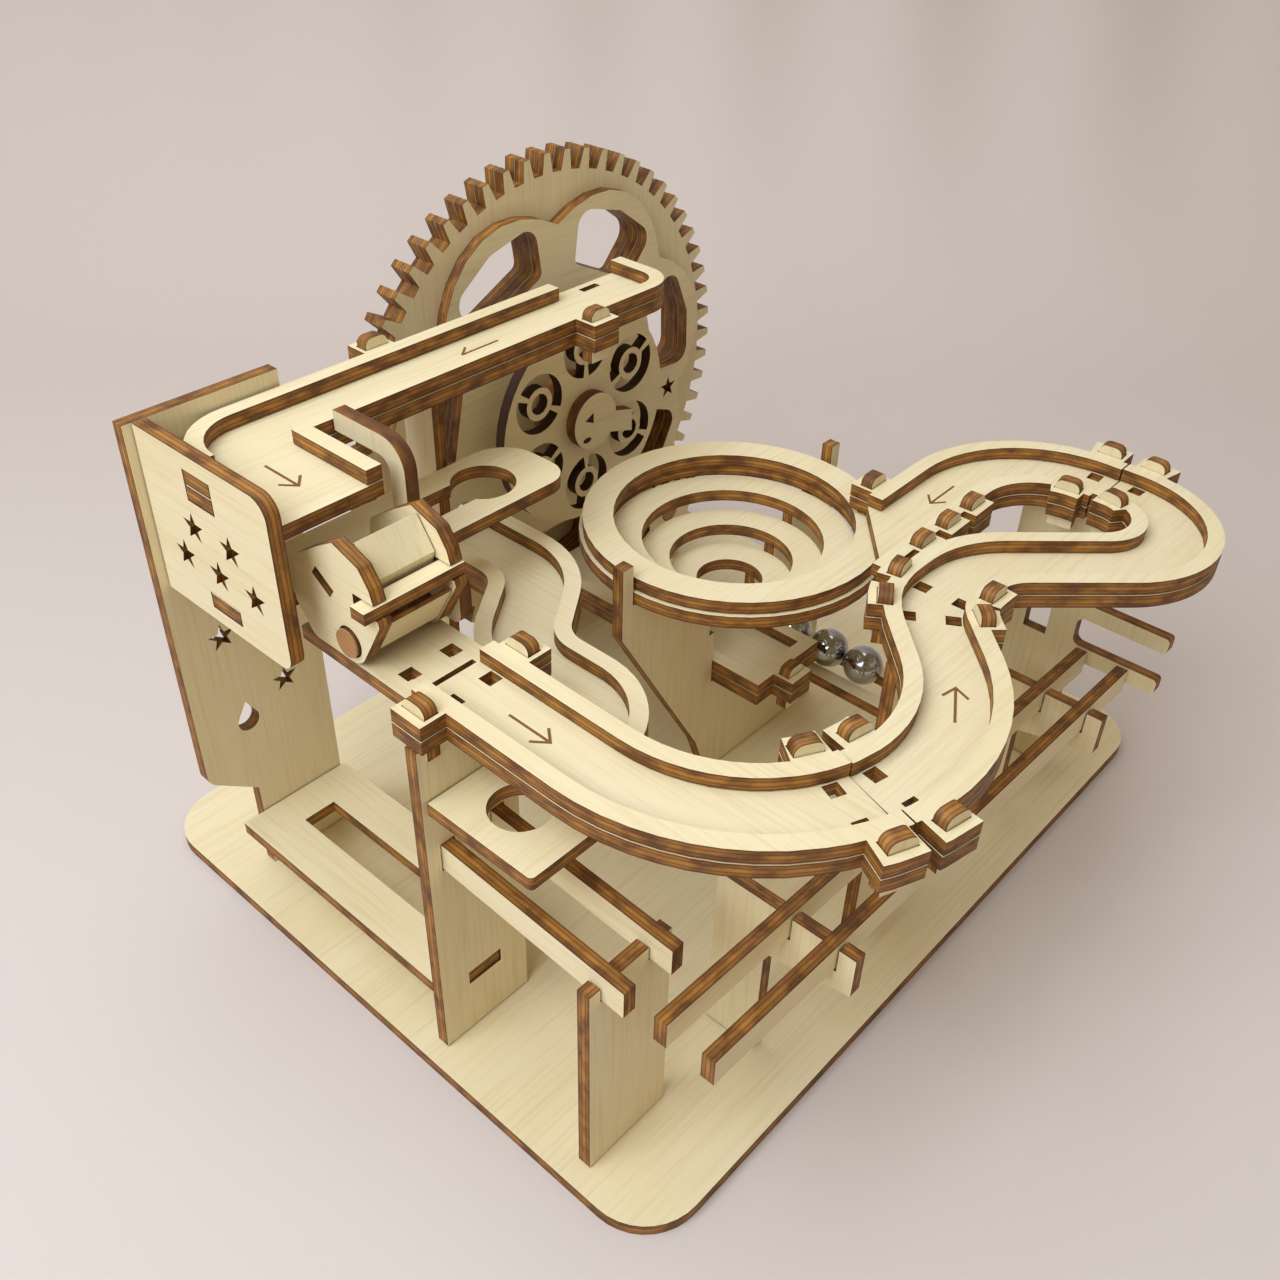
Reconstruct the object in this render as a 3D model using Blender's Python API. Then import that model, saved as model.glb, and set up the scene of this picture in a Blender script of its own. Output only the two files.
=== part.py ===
"""Wooden marble run kit: a hand-cranked gear wheel lifts steel balls to a laser-cut plywood run.

Sizes are in millimetres and become metres where the meshes are made. Places are measured from the
base's front left corner, X along its long side, Y towards the wheel and Z up. An empty moves the
whole kit so that the world origin is the middle of the base's underside.
"""

import math

import bmesh
import bpy
from mathutils import Vector

# Stock and fits
MM = 0.001
PLY = 2.9
GAP = 0.3
LAYER = PLY + GAP
ARC_STEP = math.radians(11)
ROUTE_STEP = math.radians(6)
NEAR = 0.01
MARK_CLEAR = 1.1
CIRCLE_SIDES = 48
DOWEL_SIDES = 20
BALL_RADIUS = 5.0

# Base
BASE_LENGTH = 200.0
BASE_WIDTH = 160.0
BASE_CORNER = 13.0
DECK = LAYER

# Left tower: tall rear plate and the panel with stars
REAR_Y = 128.5
REAR_LEFT = -0.8
REAR_RIGHT = 32.0
REAR_LEG = 10.4
REAR_KNEE = 32.4
REAR_KNEE_DROP = 8.5
REAR_STARS = ((9.3, 70.2), (21.7, 52.4))
TEARDROP_AT = (11.4, 46.2)
TEARDROP_HALF = 3.2
TOWER_TOP = 122.2
STAR_PANEL_X = 1.1
STAR_PANEL_FRONT = 88.8
STAR_PANEL_FOOT = 87.2
STAR_RADIUS = 3.2
STAR_WAIST = 0.4

# Upper track
UPPER_Z = 112.9
UPPER_LEFT = STAR_PANEL_X + LAYER
UPPER_RIGHT = 128.0
UPPER_FRONT = 109.7
UPPER_REAR = REAR_Y - 0.7
UPPER_WALL = 3.4
UPPER_EXIT_Y = 90.2
UPPER_EXIT_X = 26.0
UPPER_ENTRY_X = 104.0
UPPER_TAB = (105.5, 113.2)
UPPER_EAR_FRONT = 94.4
UPPER_EAR_REAR = 52.0
UPPER_POST_X = 59.7
UPPER_POST_DEPTH = 9.4

# Keyhole plate under the upper track
KEYHOLE_Z = 90.4
KEYHOLE_RIGHT = 79.0
KEYHOLE_FRONT = 96.0
KEYHOLE_REAR = 117.0
KEYHOLE_NARROW_X = 36.0
KEYHOLE_NARROW_Y = 101.5
KEYHOLE_TAB = (103.4, 112.2)
DROP_X = 63.0
DROP_Y = 106.5
DROP_RADIUS = 7.0
KEYHOLE_SLOT_X = 40.0
KEYHOLE_SLOT_WIDTH = 8.0

# Curved tracks: one floor with a wall along each side
CHANNEL = 12.2
WALL = 3.5
EAR_INSET = 1.3
EAR_LENGTH = 7.6
EAR_DEPTH = 5.6
EAR_SHALLOW = 3.0
EDGE = CHANNEL / 2 + WALL
PIN_LENGTH = 5.5
PIN_SLOT_GAP = 0.2
PIN_MARGIN = 3.3
TAB_HOLE = 3.1
TAB_HOLE_INSET = 4.6
TAB_HOLE_OFFSET = 4.4
RUN_TILT = math.radians(1.2)
SEAM = 0.4

# The four modules of the main run, from the bucket to the funnel
RUN_Z = 84.6
A_LINE_X = 19.8
A_START_Y = 67.3
B_RISE = -80.0
CREST_Y = 20.2
C_FALL = 140.6
D_LINE_X = 171.8
D_LINE_Y = 42.9
RUN_BEND_A = 38.7
RUN_BEND_CREST = 19.0
RUN_BEND_C = 17.7
RUN_BEND_D = 24.0
SEAM_AB_X = 46.8
SEAM_BC_X = 102.3
SEAM_CD_Y = 15.8
D_END_X = 107.0
D_OUTER_SHORT = 22.0
D_ROW = (14.0, 24.0, 34.0)
EAR_CHANGES = {"track_b": {(1, 1): EAR_SHALLOW, (-1, 1): EAR_SHALLOW},
               "track_c": {(1, 0): EAR_SHALLOW, (-1, 0): EAR_SHALLOW, (1, 1): EAR_SHALLOW},
               "track_d": {(1, 0): EAR_SHALLOW, (1, 1): 0}}

# Wavy track under the keyhole
WAVY_Z = 73.5
WAVY_START_Y = 115.6
WAVY_KINK_Y = 89.8
WAVY_MID_X = 41.2
WAVY_MID_Y = 74.2
WAVY_END_X = 24.0
WAVY_END_Y = 46.0
WAVY_BEND = 16.0
WAVY_LAST_BEND = 12.0

# Tipping bucket and the hook that carries its dowel
BUCKET_LEFT = 10.0
BUCKET_WIDTH = 20.0
BUCKET_PIVOT_Y = 83.0
BUCKET_PIVOT_Z = 92.6
BUCKET_DOWEL = 2.9
BUCKET_PLATFORM_REAR = 98.6
BUCKET_FOOT = 88.3
BUCKET_RISE = 20.0
BUCKET_REAR = 15.6
BUCKET_FRONT = 6.2
BUCKET_SLOT = 5.6
BUCKET_SLOT_LEAN = math.radians(35)
BAR_OVERHANG = 2.4
SCOOP_PLY = 2.4
HOOK_X = BUCKET_LEFT + BUCKET_WIDTH + GAP
HOOK_TOP = 121.0
HOOK_LEG_Y = 89.6
HOOK_WIDTH = 4.2

# Left posts, rails and plates
MID_POST_Y = 59.7
MID_POST_LEFT = 4.4
MID_POST_RIGHT = 27.0
FRONT_POST_Y = 19.6
FRONT_POST_LEFT = 4.8
FRONT_POST_RIGHT = 25.8
FRONT_POST_TOP = 54.0
CATCH_Z = 69.1
CATCH_LEFT = 5.5
CATCH_RIGHT = 34.0
CATCH_FRONT = 33.5
CATCH_HOLE_X = 16.0
CATCH_HOLE_Y = 47.0
CATCH_HOLE_RADIUS = 6.0
BRACE_Z = 17.0
BRACE_LEFT = 5.0
BRACE_RIGHT = 33.0
BRACE_SLOT_WIDTH = 8.0
BRACE_SLOT_MARGIN = 9.0
RAIL_DEPTH = 6.2
CHUTE_RAIL_X = (7.8, 20.0)
CHUTE_TOP = 59.6
CHUTE_FALL = 2.8
CHUTE_END_Y = 14.6
LONG_RAIL_Y = (8.5, -2.0)
LONG_RAIL_START = 12.0
LONG_RAIL_TOP = 50.0
LONG_RAIL_FALL = 8.0
RAIL_POST_X = (47.0, 146.0)
RAIL_POST_LEFT = 13.5
RAIL_POST_RIGHT = 26.0
RAIL_ARM_END = -6.0
RAIL_ARM_DEPTH = 8.0
END_SUPPORT_X = 168.0
END_SUPPORT_FRONT = 13.0
END_SUPPORT_REAR = 33.0
END_ARM_END = -9.0
END_ARM_DEPTH = 4.2
END_ARM_PITCH = 12.0
B_POST_Y = 15.0
B_POST_LEFT = 84.4
B_POST_RIGHT = 97.0

# Funnel
FUNNEL_X = 111.0
FUNNEL_Y = 76.0
FUNNEL_TOP = 77.2
FUNNEL_RIM_RADIUS = 34.6
FUNNEL_RIM_WIDTH = 7.0
FUNNEL_RING_PITCH = 6.6
FUNNEL_RING_STEP = 5.7
FUNNEL_LUG = 3.2
FUNNEL_LUG_TOP = 81.0
FUNNEL_LUG_FOOT = 63.0
FUNNEL_NOTCH = 8.2
SUPPORT_TOE_LEFT = 105.0
SUPPORT_TOE_Z = 16.0
SUPPORT_TOE_STEP = 5.0

# Tray under the funnel and the lane that holds waiting balls
TRAY_Z = 33.0
TRAY_LEFT = 105.0
TRAY_WIDTH = 24.0
TRAY_FRONT = 60.7
TRAY_WHEEL_GAP = 0.8
TRAY_EAR_X = 111.0
BALL_ROOM = 11.6
LANE_Z = 24.0
LANE_LEFT = 131.0
LANE_WIDTH = 15.0
LANE_FRONT = 20.0
LANE_WHEEL_GAP = 3.4
LANE_SLOT = 7.0
LANE_SLOT_MARGIN = 4.0
BALL_FRONT_Y = 52.5
BALL_MIDDLE_Y = 63.0
BALL_REAR_Y = 74.5

# Lift wheel, its stand and the crank
WHEEL_X = 117.0
WHEEL_Z = 80.5
TOOTH_MODULE = 2.0
WHEEL_TEETH = 60
PINION_TEETH = 12
TOOTH_ADDENDUM = 0.95
TOOTH_DEDENDUM = 1.35
TOOTH_TIP_SHARE = 0.14
TOOTH_ROOT_SHARE = 0.27
MESH_GAP = 0.3
RING_DISC_Y = REAR_Y + 0.1
RING_DISC_RADIUS = 28.0
RING_COUNT = 6
RING_ORBIT = 18.5
RING_OUTER_RADIUS = 7.6
RING_INNER_RADIUS = 4.2
RING_HOLE_RADIUS = 2.7
RING_BRIDGE = math.radians(7)
WHEEL_SPACING = 8.8
POCKET_PLATE_Y = RING_DISC_Y + WHEEL_SPACING
POCKET_COUNT = 7
POCKET_PHASE = math.radians(116)
POCKET_HALF = math.radians(17)
POCKET_INNER_RADIUS = 36.0
POCKET_OUTER_RADIUS = 49.0
POCKET_CORNER_RADIUS = 4.0
LOBE_RIM = 5.0
LOBE_DIP = 7.5
AXLE_RADIUS = 4.0
COLLAR_RADIUS = 10.0
HUB_RADIUS = 7.4
HUB_ARM = 13.5
HUB_ARM_WIDTH = 6.0
STAND_LEFT = 98.0
STAND_RIGHT = 178.0
STAND_TOP_HALF = 15.0
STAND_TOP_RISE = 15.0
PINION_ANGLE = math.radians(-48)
SHAFT_RADIUS = 3.0
CRANK_LENGTH = 17.0
CRANK_HALF_WIDTH = 4.5
CRANK_HANDLE = 16.0
RUNNING_GAP = 0.3

# Fresh scene
for old in list(bpy.data.objects):
    bpy.data.objects.remove(old)
parts = bpy.data.collections.new("marble_run")
cutters = bpy.data.collections.new("cutters")
bpy.context.scene.collection.children.link(parts)
bpy.context.scene.collection.children.link(cutters)


# Materials
def finish(name, colour, roughness, metallic=0.0):
    material = bpy.data.materials.new(name)
    material.use_nodes = True
    shader = material.node_tree.nodes["Principled BSDF"]
    shader.inputs["Base Color"].default_value = (*colour, 1.0)
    shader.inputs["Roughness"].default_value = roughness
    shader.inputs["Metallic"].default_value = metallic
    return material


ply = finish("plywood", (0.76, 0.66, 0.44), 0.62)
beech = finish("dowel", (0.55, 0.38, 0.20), 0.55)
steel = finish("steel", (0.55, 0.55, 0.56), 0.18, 1.0)

kit = bpy.data.objects.new("kit", None)
kit.location = (-BASE_LENGTH / 2 * MM, -BASE_WIDTH / 2 * MM, 0)
parts.objects.link(kit)

# How a flat outline lies: the plane's normal, its turn and where its thickness runs
TURN = {"X": (math.pi / 2, 0, math.pi / 2), "Y": (math.pi / 2, 0, 0), "Z": (0, 0, 0)}
NORMAL = {"X": Vector((1, 0, 0)), "Y": Vector((0, 1, 0)), "Z": Vector((0, 0, 1))}


# Outlines
def rounded(corners, closed=True, step=ARC_STEP):
    """Turn corner points, some with a fillet radius, into an outline with arcs."""
    outline = []
    last = len(corners) - 1
    for index, corner in enumerate(corners):
        here = Vector(corner[:2])
        radius = corner[2] if len(corner) > 2 else 0
        if not radius or (not closed and index in (0, last)):
            outline.append(tuple(here))
            continue
        back = (Vector(corners[index - 1][:2]) - here).normalized()
        ahead = (Vector(corners[(index + 1) % len(corners)][:2]) - here).normalized()
        half = back.angle(ahead) / 2
        centre = here + (back + ahead).normalized() * (radius / math.sin(half))
        start = here + back * (radius / math.tan(half)) - centre
        sweep = math.pi - 2 * half
        if back.cross(ahead) > 0:
            sweep = -sweep
        angle = math.atan2(start.y, start.x)
        outline += arc(centre, radius, angle, angle + sweep, step)
    return outline


def arc(centre, radius, start, end, step=ARC_STEP):
    steps = max(2, math.ceil(abs(end - start) / step))
    angles = [start + (end - start) * count / steps for count in range(steps + 1)]
    return [(centre[0] + radius * math.cos(a), centre[1] + radius * math.sin(a)) for a in angles]


def circle(x, y, radius, sides=CIRCLE_SIDES):
    angles = [2 * math.pi * step / sides for step in range(sides)]
    return [(x + radius * math.cos(a), y + radius * math.sin(a)) for a in angles]


def box(left, right, low, high):
    return [(left, low), (right, low), (right, high), (left, high)]


def star(x, y):
    tips = [math.pi / 2 + math.pi * step / 5 for step in range(10)]
    reach = [STAR_RADIUS if step % 2 == 0 else STAR_RADIUS * STAR_WAIST for step in range(10)]
    return [(x + r * math.cos(a), y + r * math.sin(a)) for a, r in zip(tips, reach)]


def polar(radius, angle):
    return WHEEL_X + radius * math.cos(angle), WHEEL_Z + radius * math.sin(angle)


# Solids
def solid(name, mesh, material, location, turn=(0, 0, 0), parent=kit, cutter=False):
    body = bmesh.new()
    body.from_mesh(mesh)
    bmesh.ops.remove_doubles(body, verts=body.verts, dist=0.001 * MM)
    bmesh.ops.recalc_face_normals(body, faces=body.faces)
    body.to_mesh(mesh)
    body.free()
    mesh.materials.clear()
    mesh.materials.append(material)
    piece = bpy.data.objects.new(name, mesh)
    piece.location = Vector(location) * MM
    piece.rotation_euler = turn
    piece.parent = parent
    (cutters if cutter else parts).objects.link(piece)
    if cutter:
        piece.hide_render = True
        piece.display_type = "WIRE"
    return piece


def plate(name, outline, face, at, holes=(), thickness=PLY, parent=kit, cutter=False):
    """Cut a flat piece: its outline and holes lie across the face's axis, from at to at + thickness."""
    sheet = bpy.data.curves.new(name, "CURVE")
    sheet.dimensions = "2D"
    sheet.fill_mode = "BOTH"
    sheet.extrude = thickness / 2 * MM
    for loop in (outline, *holes):
        spline = sheet.splines.new("POLY")
        spline.points.add(len(loop) - 1)
        spline.use_cyclic_u = True
        for point, (u, v) in zip(spline.points, loop):
            point.co = (u * MM, v * MM, 0, 1)
    drawn = bpy.data.objects.new(name, sheet)
    parts.objects.link(drawn)
    bpy.context.view_layer.update()
    mesh = bpy.data.meshes.new_from_object(drawn.evaluated_get(bpy.context.evaluated_depsgraph_get()))
    bpy.data.objects.remove(drawn)
    bpy.data.curves.remove(sheet)
    middle = NORMAL[face] * (at + thickness / 2)
    return solid(name, mesh, ply, middle, TURN[face], parent, cutter)


def dowel(name, radius, face, start, end, centre, material=beech, cutter=False):
    """A round bar along an axis: centre holds its two other coordinates in XYZ order."""
    rod = bmesh.new()
    length = (end - start) * MM
    bmesh.ops.create_cone(rod, cap_ends=True, segments=DOWEL_SIDES, radius1=radius * MM,
                          radius2=radius * MM, depth=length)
    mesh = bpy.data.meshes.new(name)
    rod.to_mesh(mesh)
    rod.free()
    place = list(centre)
    place.insert("XYZ".index(face), (start + end) / 2)
    return solid(name, mesh, material, place, TURN[face], kit, cutter)


def join(piece, others):
    """Glue other solids to a piece with Boolean unions."""
    for other in others:
        union = piece.modifiers.new(other.name, "BOOLEAN")
        union.operation = "UNION"
        union.solver = "EXACT"
        union.object = other


# Routes of the curved tracks
def stations(points):
    run = [0.0]
    for before, here in zip(points, points[1:]):
        run.append(run[-1] + (Vector(here) - Vector(before)).length)
    return run


def with_stations(points, marks):
    """Add points along a route at the given distances, in place of its own points close by."""
    run = stations(points)
    kept = [(at, Vector(point)) for at, point in zip(run, points)
            if at in (run[0], run[-1]) or all(abs(at - mark) > MARK_CLEAR for mark in marks)]
    added = [(mark, place_on(points, run, mark)) for mark in {round(mark, 3) for mark in marks}]
    return sorted(kept + added, key=lambda spot: spot[0])


def place_on(points, run, mark):
    index = next((i for i in range(1, len(run) - 1) if mark <= run[i]), len(run) - 1)
    share = (mark - run[index - 1]) / (run[index] - run[index - 1])
    return Vector(points[index - 1]).lerp(Vector(points[index]), share)


def along(mark, edge_run, centre_run):
    """The distance along a centre line that lies opposite a distance along its offset edge."""
    for index in range(1, len(edge_run)):
        if mark <= edge_run[index]:
            share = (mark - edge_run[index - 1]) / (edge_run[index] - edge_run[index - 1])
            return centre_run[index - 1] + share * (centre_run[index] - centre_run[index - 1])
    return centre_run[-1]


def mitres(marked):
    """Left-hand normals along a route, stretched at its corners so that offsets stay parallel."""
    points = [point for _, point in marked]
    normals = []
    for index, here in enumerate(points):
        back = here - points[index - 1] if index else points[1] - here
        ahead = points[index + 1] - here if index + 1 < len(points) else back
        one = Vector((-back.y, back.x)).normalized()
        two = Vector((-ahead.y, ahead.x)).normalized()
        middle = (one + two).normalized()
        normals.append(middle / middle.dot(one))
    return normals


class Route:
    """A track's centre line, with the ears at both ends of each side."""

    def __init__(self, corners, depths={}, headings=None, right_short=0.0, left_row=()):
        plain = with_stations(rounded(corners, False, ROUTE_STEP), [])
        normals = mitres(plain)
        self.length = plain[-1][0]
        self.ends = {1: self.length, -1: self.length - right_short}
        self.ears = {}
        for side in (1, -1):
            edge = [point + normal * side * EDGE for (_, point), normal in zip(plain, normals)]
            short = self.length - self.ends[side]
            ears = self.end_ears(stations(edge), [run for run, _ in plain], short)
            self.ears[side] = [(*ear, depths.get((side, end), EAR_DEPTH)) for end, ear in enumerate(ears)
                               if depths.get((side, end), EAR_DEPTH)]
            if side == 1:
                self.ears[1] += self.row_ears(stations(edge), [run for run, _ in plain], left_row)
        marks = [mark for ears in self.ears.values() for ear in ears for mark in (ear[0], ear[2])]
        marks += [end for end in self.ends.values() if end < self.length]
        self.marked = with_stations([point for _, point in plain], marks)
        self.normals = mitres(self.marked)
        if headings:
            self.normals[0], self.normals[-1] = [Vector((-way.y, way.x)) for way in headings]

    def end_ears(self, edge_run, centre_run, short):
        """Each ear's start, middle and end along the centre line, for its length along the edge."""
        reach = (EAR_INSET, EAR_INSET + EAR_LENGTH / 2, EAR_INSET + EAR_LENGTH)
        ends = (reach, [edge_run[-1] - short - mark for mark in reversed(reach)])
        return [[along(mark, edge_run, centre_run) for mark in marks] for marks in ends]

    def row_ears(self, edge_run, centre_run, row):
        """Shallow ears in a row, each given by its distance from the module's end."""
        ears = []
        for back in row:
            marks = [edge_run[-1] - back + shift for shift in (-EAR_LENGTH / 2, 0, EAR_LENGTH / 2)]
            ears.append((*[along(mark, edge_run, centre_run) for mark in marks], EAR_SHALLOW))
        return ears

    def side(self, offset, eared=False):
        line = []
        hand = 1 if offset > 0 else -1
        ears = self.ears[hand] if eared else []
        for (run, point), normal in zip(self.marked, self.normals):
            if run > self.ends[hand] + NEAR:
                break
            near = tuple(point + normal * offset)
            ear = next((e for e in ears if e[0] - NEAR <= run <= e[2] + NEAR), None)
            if ear is None:
                line.append(near)
                continue
            far = tuple(point + normal * (offset + math.copysign(ear[3], offset)))
            if abs(run - ear[0]) <= NEAR:
                line += [near, far]
            elif abs(run - ear[2]) <= NEAR:
                line += [far, near]
            else:
                line.append(far)
        return line

    def patch(self, run, offset, along, across):
        """A small rectangle at a place beside the route, turned with it."""
        after = next(index for index, (at, _) in enumerate(self.marked) if at >= run)
        (start, before), (end, ahead) = self.marked[after - 1:after + 1]
        forward = (ahead - before).normalized()
        normal = Vector((-forward.y, forward.x))
        middle = before.lerp(ahead, (run - start) / (end - start)) + normal * offset
        corners = [(-along, -across), (along, -across), (along, across), (-along, across)]
        return [tuple(middle + forward * u / 2 + normal * v / 2) for u, v in corners]

    def pin_slots(self, side):
        size = (PIN_LENGTH + 2 * PIN_SLOT_GAP, PLY + 2 * PIN_SLOT_GAP)
        return [self.patch(ear[1], side * (EDGE + ear[3] - PIN_MARGIN), *size) for ear in self.ears[side]]

    def tab_holes(self):
        runs = (TAB_HOLE_INSET, self.length - TAB_HOLE_INSET)
        sides = (-TAB_HOLE_OFFSET, TAB_HOLE_OFFSET)
        return [self.patch(run, side, TAB_HOLE, TAB_HOLE) for run in runs for side in sides]

    def wall(self, side):
        outer = self.side(side * EDGE, eared=True)
        return outer + self.side(side * CHANNEL / 2)[::-1]

    def floor(self):
        return self.side(EDGE, eared=True) + self.side(-EDGE, eared=True)[::-1]


def track(name, route, z, parent=kit, floor=None, holes=None):
    """Lay a track module: its floor, then the left and right walls pinned on it."""
    slots = {side: route.pin_slots(side) for side in (1, -1)}
    floor_holes = slots[1] + slots[-1] + (route.tab_holes() if holes is None else holes)
    plate(name + "_floor", floor or route.floor(), "Z", z, floor_holes, parent=parent)
    plate(name + "_left_wall", route.wall(1), "Z", z + LAYER, slots[1], parent=parent)
    plate(name + "_right_wall", route.wall(-1), "Z", z + LAYER, slots[-1], parent=parent)


# Base and the left tower
def base():
    outline = rounded([(x, y, BASE_CORNER) for x, y in box(0, BASE_LENGTH, 0, BASE_WIDTH)])
    plate("base_plate", outline, "Z", 0)


def rear_plate():
    knee = DECK + REAR_KNEE
    outline = rounded([(REAR_LEG, DECK), (REAR_RIGHT, DECK), (REAR_RIGHT, TOWER_TOP), (REAR_LEFT, TOWER_TOP),
                       (REAR_LEFT, knee, 4), (REAR_LEG, knee - REAR_KNEE_DROP)])
    (x, z), half = TEARDROP_AT, TEARDROP_HALF
    teardrop = rounded([(x - half, z, 0.8 * half), (x, z + 1.7 * half), (x + half, z, 0.8 * half),
                        (x, z - 1.1 * half, 0.8 * half)])
    plate("rear_plate", outline, "Y", REAR_Y, [*[star(*place) for place in REAR_STARS], teardrop])


def star_panel():
    rear = REAR_Y - GAP
    outline = rounded([(STAR_PANEL_FRONT, STAR_PANEL_FOOT, 3), (rear, STAR_PANEL_FOOT), (rear, TOWER_TOP),
                       (STAR_PANEL_FRONT, TOWER_TOP, 4)])
    middle = (STAR_PANEL_FRONT + rear) / 2
    rows = [(TOWER_TOP - 15.4, (-6.1, 5.2)), (TOWER_TOP - 23, (-11.6, -0.8, 10.0))]
    holes = [star(middle + shift, z) for z, shifts in rows for shift in shifts]
    holes.append(box(UPPER_TAB[0] - GAP, UPPER_TAB[1] + GAP, UPPER_Z - GAP, UPPER_Z + LAYER + PLY))
    holes.append(box(KEYHOLE_TAB[0] - GAP, KEYHOLE_TAB[1] + GAP, KEYHOLE_Z - GAP, KEYHOLE_Z + LAYER))
    plate("star_panel", outline, "X", STAR_PANEL_X, holes)


# Upper track, from the wheel to the bucket
def upper_ear(start, wall_y, side):
    """The three corners that turn a straight wall out round a lock pin."""
    tip = wall_y + side * EAR_DEPTH
    return [(start, wall_y), (start, tip), (start + EAR_LENGTH, tip), (start + EAR_LENGTH, wall_y)]


def upper_pin_slot(start, wall_y, side):
    middle = wall_y + side * (EAR_DEPTH - PIN_MARGIN)
    half = PLY / 2 + PIN_SLOT_GAP
    edge = (EAR_LENGTH - PIN_LENGTH) / 2 - PIN_SLOT_GAP
    return box(start + edge, start + EAR_LENGTH - edge, middle - half, middle + half)


def upper_track():
    front_ear = upper_ear(UPPER_EAR_FRONT, UPPER_FRONT, -1)
    rear_ear = upper_ear(UPPER_EAR_REAR, UPPER_REAR, 1)[::-1]
    front_slot = upper_pin_slot(UPPER_EAR_FRONT, UPPER_FRONT, -1)
    rear_slot = upper_pin_slot(UPPER_EAR_REAR, UPPER_REAR, 1)
    front_edge = [(UPPER_EXIT_X, UPPER_EXIT_Y), (UPPER_EXIT_X, UPPER_FRONT), *front_ear,
                  (UPPER_RIGHT, UPPER_FRONT, 8), (UPPER_RIGHT, UPPER_REAR)]
    tab = [(UPPER_LEFT, UPPER_TAB[1]), (STAR_PANEL_X, UPPER_TAB[1]),
           (STAR_PANEL_X, UPPER_TAB[0]), (UPPER_LEFT, UPPER_TAB[0])]
    floor = rounded([*front_edge, *rear_ear, (UPPER_LEFT, UPPER_REAR), *tab, (UPPER_LEFT, UPPER_EXIT_Y)])
    entry_slot = box(UPPER_ENTRY_X + 8, UPPER_ENTRY_X + 13.5, UPPER_REAR - 3.4, UPPER_REAR - 1.6)
    plate("upper_floor", floor, "Z", UPPER_Z, [front_slot, rear_slot, entry_slot])

    inner = UPPER_FRONT + UPPER_WALL
    front = rounded([*front_edge, (UPPER_RIGHT - UPPER_WALL, UPPER_REAR), (UPPER_RIGHT - UPPER_WALL, inner, 4.6),
                     (UPPER_EXIT_X - UPPER_WALL, inner, 2), (UPPER_EXIT_X - UPPER_WALL, UPPER_EXIT_Y)])
    plate("upper_front_wall", front, "Z", UPPER_Z + LAYER, [front_slot])

    turn = 14.0
    end = UPPER_TAB[1] + GAP
    rear = rounded([(UPPER_ENTRY_X, UPPER_REAR), *rear_ear, (UPPER_LEFT, UPPER_REAR, turn), (UPPER_LEFT, end),
                    (UPPER_LEFT + UPPER_WALL, end),
                    (UPPER_LEFT + UPPER_WALL, UPPER_REAR - UPPER_WALL, turn - UPPER_WALL),
                    (UPPER_ENTRY_X, UPPER_REAR - UPPER_WALL)])
    plate("upper_rear_wall", rear, "Z", UPPER_Z + LAYER, [rear_slot])

    post_front = KEYHOLE_REAR + 2 * GAP
    plate("upper_post", box(post_front, post_front + UPPER_POST_DEPTH, DECK, UPPER_Z - GAP), "X", UPPER_POST_X)


def keyhole_plate():
    tab = [(UPPER_LEFT, KEYHOLE_TAB[1]), (STAR_PANEL_X, KEYHOLE_TAB[1]),
           (STAR_PANEL_X, KEYHOLE_TAB[0]), (UPPER_LEFT, KEYHOLE_TAB[0])]
    outline = rounded([(UPPER_LEFT, KEYHOLE_NARROW_Y), (KEYHOLE_NARROW_X, KEYHOLE_NARROW_Y, 3),
                       (KEYHOLE_NARROW_X + 5, KEYHOLE_FRONT, 3), (KEYHOLE_RIGHT, KEYHOLE_FRONT, 6),
                       (KEYHOLE_RIGHT, KEYHOLE_REAR, 9), (UPPER_LEFT, KEYHOLE_REAR), *tab])
    half = KEYHOLE_SLOT_WIDTH / 2
    mouth = math.asin(half / DROP_RADIUS)
    keyhole = arc((DROP_X, DROP_Y), DROP_RADIUS, mouth - math.pi, math.pi - mouth)
    keyhole += arc((KEYHOLE_SLOT_X + half, DROP_Y), half, math.pi / 2, 3 * math.pi / 2)
    plate("keyhole_plate", outline, "Z", KEYHOLE_Z, [keyhole])


# The wavy track under the keyhole, which ends over the catch plate
def wavy_track():
    route = Route([(DROP_X, WAVY_START_Y), (DROP_X, WAVY_KINK_Y, WAVY_BEND), (WAVY_MID_X, WAVY_MID_Y, WAVY_BEND),
                   (WAVY_MID_X, WAVY_END_Y, WAVY_LAST_BEND), (WAVY_END_X, WAVY_END_Y)])
    half = EDGE
    floor = route.side(half) + route.side(-half)[::-1]
    plate("wavy_floor", floor, "Z", WAVY_Z)
    for name, side in (("wavy_left_wall", 1), ("wavy_right_wall", -1)):
        wall = route.side(side * half) + route.side(side * CHANNEL / 2)[::-1]
        plate(name, wall, "Z", WAVY_Z + LAYER)


# The main run: modules A to D, each tilted so that a ball rolls on
def module_frame(name, pivot, tilt_axis, tilt):
    frame = bpy.data.objects.new(name, None)
    frame.location = Vector(pivot) * MM
    frame.rotation_euler = Vector(tilt_axis) * tilt
    frame.parent = kit
    parts.objects.link(frame)
    return frame


def shifted(corners, pivot):
    return [(corner[0] - pivot[0], corner[1] - pivot[1], *corner[2:]) for corner in corners]


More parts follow.
